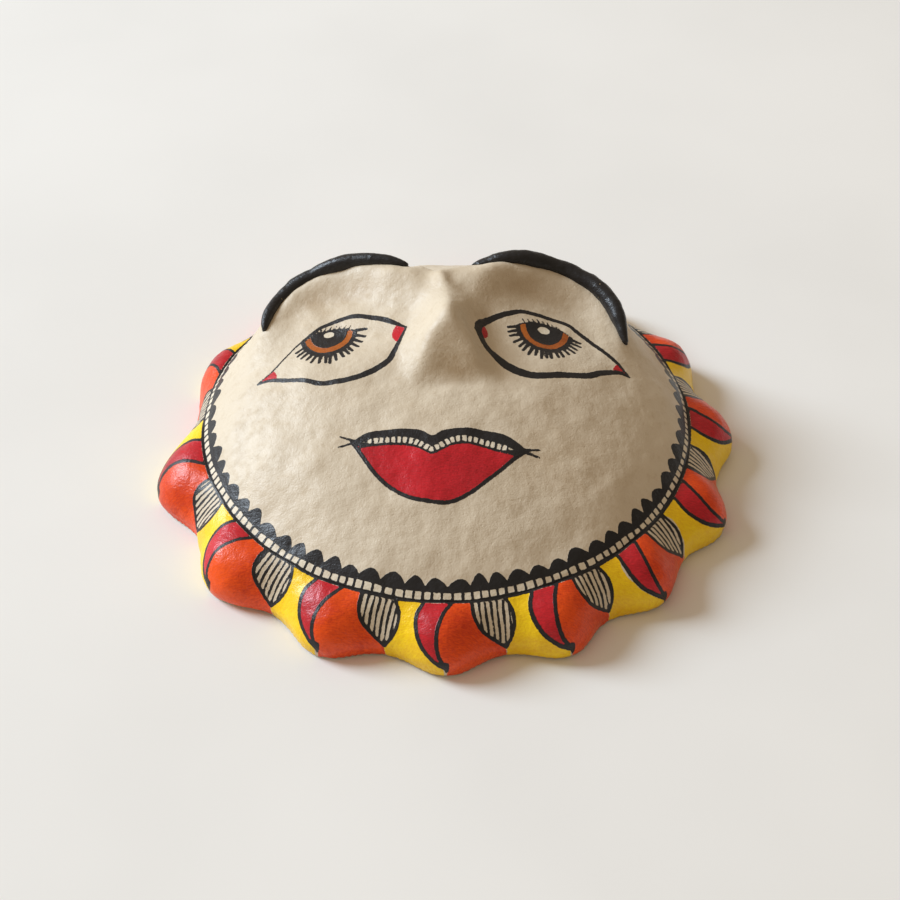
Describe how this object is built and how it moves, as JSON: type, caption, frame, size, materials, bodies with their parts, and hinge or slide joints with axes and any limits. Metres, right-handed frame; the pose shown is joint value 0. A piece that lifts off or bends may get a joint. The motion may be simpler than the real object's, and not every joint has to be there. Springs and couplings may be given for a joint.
{
  "type": "wall mask",
  "caption": "Round papier-mache sun-face wall mask: a domed face with nose and brows, a collar of pressed rays, and a swinging hanging wire in its hollow back.",
  "frame": {"origin": "on the back plane, under the middle of the face bowl", "axes": "+Z out of the face, +Y from chin to forehead, +X to the right of a viewer looking at the face"},
  "size_m": [0.2254, 0.2255, 0.0703],
  "materials": {
    "ground_paint": "matt distemper on paper pulp, with motifs brushed in black, red, orange and brown",
    "brow_paint": "semi-gloss black paint on paper pulp",
    "ray_paint": "semi-gloss red, orange, yellow and striped cream paint on paper pulp",
    "lining_paper": "pasted waste paper, matt",
    "brown_paper": "pasted brown kraft paper, matt",
    "bare_pulp": "unpainted paper pulp, rough",
    "steel_wire": "dull galvanised wire"
  },
  "bodies": {
    "mask": {"face_shell": "ground_paint", "nose_form": "ground_paint", "brow_left": "brow_paint", "brow_right": "brow_paint", "ray_petals": "ray_paint", "paper_lining": "lining_paper", "seam_strip": "brown_paper", "rim_strip": "brown_paper", "wire_anchor_left": "bare_pulp", "wire_anchor_right": "bare_pulp"},
    "hanging_wire": {"hanging_wire": "steel_wire"}
  },
  "joints": [
    {"name": "wire_swing", "type": "hinge", "parent": "mask", "child": "hanging_wire", "pos_m": [0, 0.07, 0.007], "axis": [1, 0, 0], "range_deg": [-90, 180]}
  ]
}
